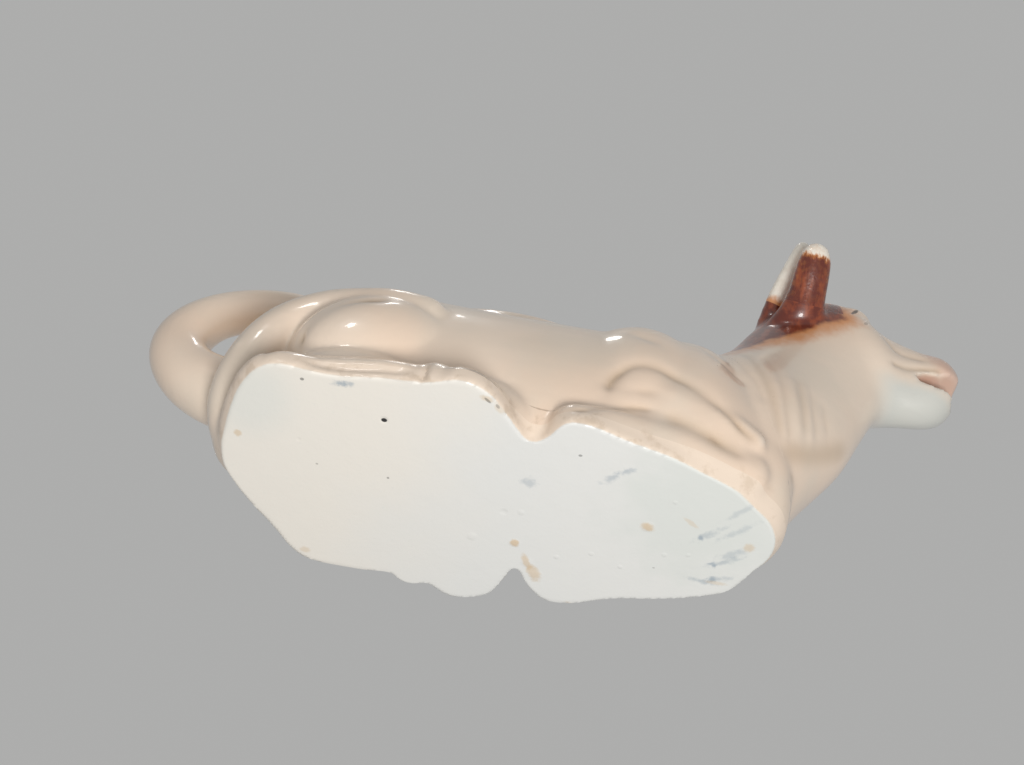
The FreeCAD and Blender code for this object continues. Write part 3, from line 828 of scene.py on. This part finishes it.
def makeCreamGlaze():
    glaze = Glaze("creamGlaze")
    color = glaze.mix(glaze.fade(glaze.noise(34, 2), 0.38, 0.66), creamColors["cream"], creamColors["warm"])
    grey = glaze.fade(glaze.noise(21, 3, shift=40), 0.46, 0.70) * 0.55
    color = glaze.mix(grey, color, creamColors["grey"])
    for coat in (poolTanAndShade, stainAndShadeLip, tintMuzzle, sprayBrown):
        color = coat(glaze, color)
    for center, size, turn, strength in headMarks["eyes"]:
        mark = glaze.distance(center, size, (0, turn, 0)) + glaze.wander(0.7, 1.0, 2)
        color = glaze.mix(glaze.fade(mark, 1.15, 0.7) * strength, color, creamColors["lash"])
    skin = glaze.noise(1.5, 2) * 0.6 + glaze.noise(7, 2) * 2.0
    return glaze.done({
        "Base Color": scuffBelly(glaze, color), "Roughness": 0.24 + glaze.noise(2.4, 3) * 0.14,
        "Coat Weight": 0.7, "Coat Roughness": 0.06, "Normal": glaze.bump(skin, 0.5, 0.10),
    })


footColors = {
    "cool": (0.76, 0.76, 0.735),
    "warm": (0.82, 0.78, 0.71),
    "green": (0.69, 0.715, 0.68),
    "smoke": (0.34, 0.40, 0.45),
    "buff": (0.66, 0.50, 0.32),
    "pin": (0.02, 0.02, 0.02),
}
# smears and spots on the flat underside: how ragged they are, where their edge fades from and to,
# and for each x, y, half length, half width, turn and strength
footMarks = {
    "smoke": (2.4, (1.5, 0.1), (
        (-32.6, -25.0, 1.3, 0.8, -10, 0.8), (-30.4, -25.4, 1.0, 0.7, 0, 0.6),
        (23.2, -12.6, 2.4, 0.9, -45, 0.5), (25.6, -14.6, 2.2, 0.7, -30, 0.45),
        (7.2, -7.4, 1.7, 1.2, 10, 0.42), (45.0, -1.2, 3.6, 0.8, -44, 0.45),
        (50.4, -9.6, 4.6, 0.7, -50, 0.32), (49.6, 6.0, 3.6, 0.8, -32, 0.5),
        (46.4, 12.6, 3.4, 0.6, 8, 0.5), (51.0, 3.2, 3.4, 1.0, -38, 0.4),
        (49.6, 11.2, 2.6, 0.7, -20, 0.45), (50.6, -3.4, 3.8, 0.8, -45, 0.34),
        (43.7, 0.0, 0.7, 0.6, 0, 0.8), (47.9, 7.3, 0.7, 0.6, 0, 0.8), (48.4, 11.6, 0.9, 0.7, 0, 0.75),
    )),
    "buff": (1.0, (1.2, 0.5), (
        (-52.3, -7.6, 0.8, 1.0, 0, 0.6), (32.6, -0.6, 1.5, 1.2, 20, 0.75), (-37.5, 23.4, 1.2, 1.0, 0, 0.4),
        (6.4, 10.6, 1.0, 1.2, 0, 0.8), (53.8, 0.6, 1.3, 1.3, 0, 0.5), (9.6, 15.6, 0.9, 2.6, -25, 0.6),
        (11.6, 18.8, 1.5, 2.8, -25, 0.6), (41.0, -3.6, 2.2, 0.6, 35, 0.35), (49.6, 12.4, 2.4, 0.6, 0, 0.35),
        (-1.0, -25.6, 1.8, 1.0, 50, 0.4), (-4.0, -27.4, 1.4, 0.8, 20, 0.5), (24.0, 27.0, 5, 0.8, 10, 0.4),
    )),
    "pin": (0.25, (1.15, 0.8), (
        (-23.2, -17.5, 0.62, 0.5, 0, 1.0), (-39.8, -24.5, 0.4, 0.35, 0, 0.6),
        (-3.7, -27.0, 0.9, 0.3, 40, 0.5), (-1.6, -25.9, 0.6, 0.3, 50, 0.4),
        (-21.3, -2.0, 0.28, 0.28, 0, 0.5), (16.0, -16.9, 0.4, 0.3, 0, 0.5),
        (-36.0, -2.6, 0.3, 0.25, 0, 0.35), (36.0, 11.0, 0.3, 0.2, 0, 0.3),
    )),
}
# small raised drips and pits that catch the light: x, y, radius, height
glazeBeads = (
    (-2.6, 10.8, 1.2, 1.0), (3.1, 2.1, 0.9, -1.0), (6.6, 1.4, 0.8, 0.8), (6.4, 10.6, 1.3, 1.2),
    (32.6, -0.6, 1.5, 1.2), (15.6, 12.7, 0.7, 0.8), (22.6, 10.0, 0.6, 0.8), (37.4, 6.7, 0.7, 0.8),
    (29.1, 12.4, 0.6, 0.8), (-23.2, -17.5, 0.9, -1.6), (-40.0, -8.5, 0.6, -0.5), (36.6, -8.6, 0.6, 0.7),
    (42.2, 5.6, 0.6, 0.7), (9.8, 15.8, 1.6, 1.0), (11.9, 19.2, 1.8, 1.0),
)


def makeWhiteGlaze():
    glaze = Glaze("whiteGlaze")
    wobble = glaze.wander(1.3, 1.6, 4, 0.6)
    broad = glaze.x + glaze.y * 0.25 + glaze.wander(34, 26, 3)
    color = glaze.mix(glaze.fade(broad, 6.0, -34.0), footColors["cool"], footColors["warm"])
    corner = glaze.distance((44, -8, 0), (24, 26, 20), sides=False) + glaze.wander(1, 9, 3)
    rear = glaze.distance((-50, -18, 0), (11, 13, 20), sides=False)
    green = (glaze.fade(corner, 1.1, 0.4) * 0.75).most(glaze.fade(rear, 1.1, 0.3) * 0.5)
    color = glaze.mix(green, color, footColors["green"])
    specks = glaze.fade(glaze.noise(1.3, 4, 0.7, shift=5), 0.58, 0.75) * 0.25
    color = glaze.mix(specks, color, footColors["green"])
    for kind, (fray, edges, marks) in footMarks.items():
        for x, y, halfLength, halfWidth, turn, strength in marks:
            mark = glaze.distance((x, y, 0), (halfLength, halfWidth, 4), (0, 0, turn), sides=False)
            shown = glaze.fade(mark + wobble * fray, *edges) * strength
            color = glaze.mix(shown, color, footColors[kind])
    # the edge of the foot is the same cream as the body, with tan in places
    lip = glaze.fade(glaze.noise(4.0, 4, 0.6, shift=3), 0.50, 0.66)
    edge = glaze.mix(lip * 0.3, creamColors["cream"], creamColors["tan"])
    color = glaze.mix(glaze.fade(glaze.z + glaze.wander(0.2, 3, 2), 0.06, 0.5), color, edge)
    height = glaze.noise(5, 3) * 0.8 + glaze.noise(0.9, 3, 0.6) * 0.25
    for x, y, radius, rise in glazeBeads:
        bead = glaze.distance((x, y, 0), (radius, radius, 4), sides=False) + wobble * 0.4
        height = height + glaze.fade(bead, 1.2, 0.2) * rise
    return glaze.done({
        "Base Color": color, "Roughness": 0.42 + glaze.wander(0.3, 3.5, 4, 0.6),
        "Coat Weight": 0.35, "Coat Roughness": 0.12, "Normal": glaze.bump(height, 0.7, 0.14),
    })


def makeBrownGlaze():
    # ears: brown spray with a ragged ivory tip, thinner where a ridge shows through, and purplish patches
    # of painted sheen in the brown
    glaze = Glaze("brownGlaze")
    root, tip = Vector(headForm["ear"][1][:3]), Vector(headForm["ear"][-1][:3])
    along = glaze.beyond(tip - root, tip) + glaze.wander(3.4, 1.1, 4, 0.6, (0.6, 1, 2))
    streaks = glaze.noise(2.4, 3, 0.55, (0.6, 2.6, 2.2))
    brown = mottledBrown(glaze, streaks, 0.40, 0.5)
    ridge = glaze.fade(glaze.stored("hollow"), 0.0, -0.5) * glaze.fade(glaze.noise(1.2, 4), 0.45, 0.62)
    brown = glaze.mix(ridge * 0.55, brown, creamColors["amber"])
    patches = glaze.fade(glaze.noise(1.2, 3), 0.4, 0.6) * 0.6
    color = glaze.mix(glaze.fade(along, -2.6, -0.9), brown, creamColors["amber"])
    ivory = glaze.mix(patches, creamColors["pale"], creamColors["warm"])
    color = glaze.mix(glaze.fade(along, -1.9, -0.7), color, ivory)
    skin = glaze.noise(1.1, 3) * 1.0 + streaks * 0.6
    return glaze.done({
        "Base Color": color, "Roughness": 0.20 + streaks * 0.16,
        "Coat Weight": 0.8, "Coat Roughness": 0.05, "Normal": glaze.bump(skin, 0.6, 0.14),
    })


hornColors = {"ivory": (0.92, 0.87, 0.78), "bone": (0.84, 0.77, 0.67)}


def makeHornGlaze():
    # ivory, with amber where the spray of the poll reaches the root
    glaze = Glaze("hornGlaze")
    root, tip = Vector(headForm["horn"][1][:3]), Vector(headForm["horn"][-1][:3])
    along = glaze.beyond(tip - root, root) + glaze.wander(2.4, 1.2, 3)
    patches = glaze.fade(glaze.noise(2.2, 4), 0.40, 0.66)
    color = glaze.mix(patches, hornColors["ivory"], hornColors["bone"])
    color = glaze.mix(glaze.fade(along, -0.4, -2.8) * 0.9, color, creamColors["amber"])
    return glaze.done({
        "Base Color": color, "Roughness": 0.28 + glaze.noise(1.5, 3) * 0.14,
        "Coat Weight": 0.6, "Coat Roughness": 0.08,
        "Normal": glaze.bump(glaze.noise(0.9, 3, 0.6), 0.5, 0.12),
    })


coats = {
    "cream_glaze": makeCreamGlaze(),
    "white_glaze": makeWhiteGlaze(),
    "brown_glaze": makeBrownGlaze(),
    "horn_glaze": makeHornGlaze(),
}
for piece, slot, node in pieces:
    piece.data.materials.clear()
    piece.data.materials.append(coats[slot])
print("glazed")


studio = {
    "aim": (0.33, -32.47, 0.0),
    "distance": 269.7,
    "elevation": -50.0,
    "roll": 9.6,
    "lens": 50.0,
    "surround": (0.42, 0.42, 0.415),
    "world": (0.32, 0.32, 0.32),
    "floor": (0.74, 0.73, 0.71),
    # the floor lies a little under the foot, and fades out towards its rim
    "floorDrop": 0.3,
    "floorRadius": 700,
    "floorFade": 650,
    "lampAim": (10, 0, 30),
    # where each soft lamp stands, how broad it is, its strength and color, and whether gloss shows it
    "lamps": {
        "below": ((90, -260, -400), 200, 2.0, (1.0, 0.985, 0.965), True),
        "windowRight": ((-170, -390, 130), 60, 0.16, (1.0, 0.985, 0.96), True),
        "windowAbove": ((-60, -60, 470), 60, 0.07, (1.0, 0.985, 0.96), True),
        "above": ((130, 40, 480), 320, 1.1, (1.0, 0.99, 0.97), False),
        "left": ((-220, 480, 400), 300, 1.5, (0.98, 0.99, 1.0), False),
    },
}


def makeCamera():
    tilt = math.radians(studio["elevation"])
    back = Vector((0, -math.cos(tilt), math.sin(tilt)))
    camera = bpy.data.objects.new("camera", bpy.data.cameras.new("camera"))
    camera.data.lens = studio["lens"]
    camera.data.sensor_width = 36
    camera.data.clip_start = 0.01
    camera.location = (Vector(studio["aim"]) + back * studio["distance"]) * mm
    level = (-back).to_track_quat("-Z", "Y").to_matrix().to_4x4()
    camera.matrix_world = (
        Matrix.Translation(camera.location) @ level @ Matrix.Rotation(math.radians(studio["roll"]), 4, "Z")
    )
    bpy.context.collection.objects.link(camera)
    bpy.context.scene.camera = camera


def makeLamps():
    for name, (place, size, strength, color, mirrored) in studio["lamps"].items():
        lamp = bpy.data.objects.new(name, bpy.data.lights.new(name, "AREA"))
        lamp.data.shape = "DISK"
        lamp.data.size = size * mm
        lamp.data.energy = strength
        lamp.data.color = color
        lamp.visible_glossy = mirrored
        lamp.location = Vector(place) * mm
        aim = Vector(studio["lampAim"]) - Vector(place)
        lamp.rotation_euler = aim.to_track_quat("-Z", "Y").to_euler()
        bpy.context.collection.objects.link(lamp)


def makeWorld():
    # an even room: what the camera and the gloss see is a pale grey
    world = bpy.data.worlds.new("room")
    world.use_nodes = True
    room = Graph(world.node_tree)
    seen = room.node("ShaderNodeLightPath", output="Is Camera Ray")
    mirrored = room.node("ShaderNodeLightPath", output="Is Glossy Ray")
    tone = room.mix(seen.most(mirrored), studio["world"], studio["surround"])
    room.feed(room.tree.nodes["Background"].inputs["Color"], tone)
    bpy.context.scene.world = world


def makeFloor():
    # seen only from above, so a camera below looks through it at the foot
    shape = bmesh.new()
    place = Matrix.Translation((0, 0, -studio["floorDrop"] * mm))
    radius = studio["floorRadius"] * mm
    bmesh.ops.create_circle(shape, cap_ends=True, segments=96, radius=radius, matrix=place)
    floor = toObject(shape, "floor")
    if floor.data.polygons[0].normal.z < 0:
        floor.data.flip_normals()
    paint = Glaze("floorPaint")
    seen = paint.node("ShaderNodeLightPath", output="Is Camera Ray")
    rear = paint.node("ShaderNodeNewGeometry", output="Backfacing")
    edge = paint.fade(paint.distance((0, 0, 0), [studio["floorFade"]] * 3, sides=False), 1.05, 0.55)
    paint.done({"Base Color": studio["floor"], "Roughness": 0.9})
    clear = paint.node("ShaderNodeBsdfTransparent")
    shader = Wire(paint, paint.shader.outputs[0])
    shown = paint.node("ShaderNodeMixShader", {}, {0: seen * (1 - rear) * edge, 1: clear, 2: shader})
    paint.feed(paint.tree.nodes["Material Output"].inputs["Surface"], shown)
    floor.data.materials.append(paint.material)


makeCamera()
makeLamps()
makeWorld()
makeFloor()
bpy.context.scene.view_settings.view_transform = "Standard"
